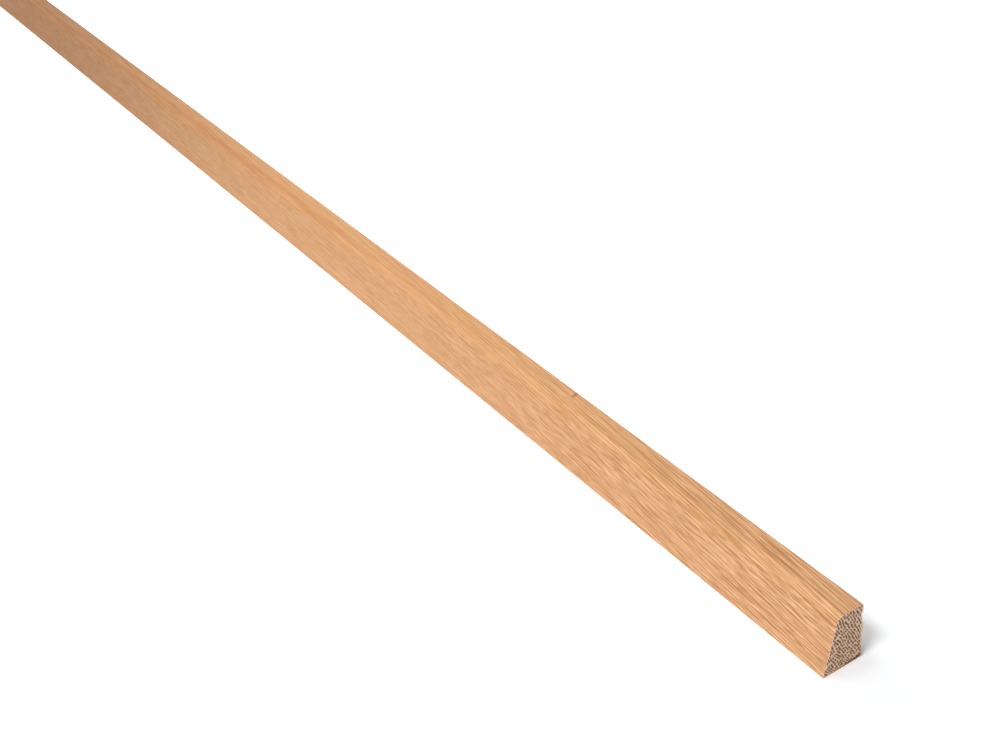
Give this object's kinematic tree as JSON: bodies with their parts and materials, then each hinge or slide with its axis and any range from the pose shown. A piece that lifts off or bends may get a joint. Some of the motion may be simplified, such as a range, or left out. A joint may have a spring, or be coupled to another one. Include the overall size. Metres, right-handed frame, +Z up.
{
  "type": "shoe moulding",
  "caption": "Straight stick of red oak shoe moulding with a leaning face, a rounded shoulder, a flat top and square-sawn ends.",
  "frame": {"origin": "on the floor, at the middle of the stick's length and depth", "axes": "+X along the stick, +Y from the toe back towards the wall, +Z up from the floor"},
  "size_m": [2.4384, 0.0126, 0.0175],
  "materials": {
    "oak": "bare red oak, planed smooth, satin"
  },
  "bodies": {
    "root": {"shoe_moulding": "oak"}
  },
  "joints": []
}
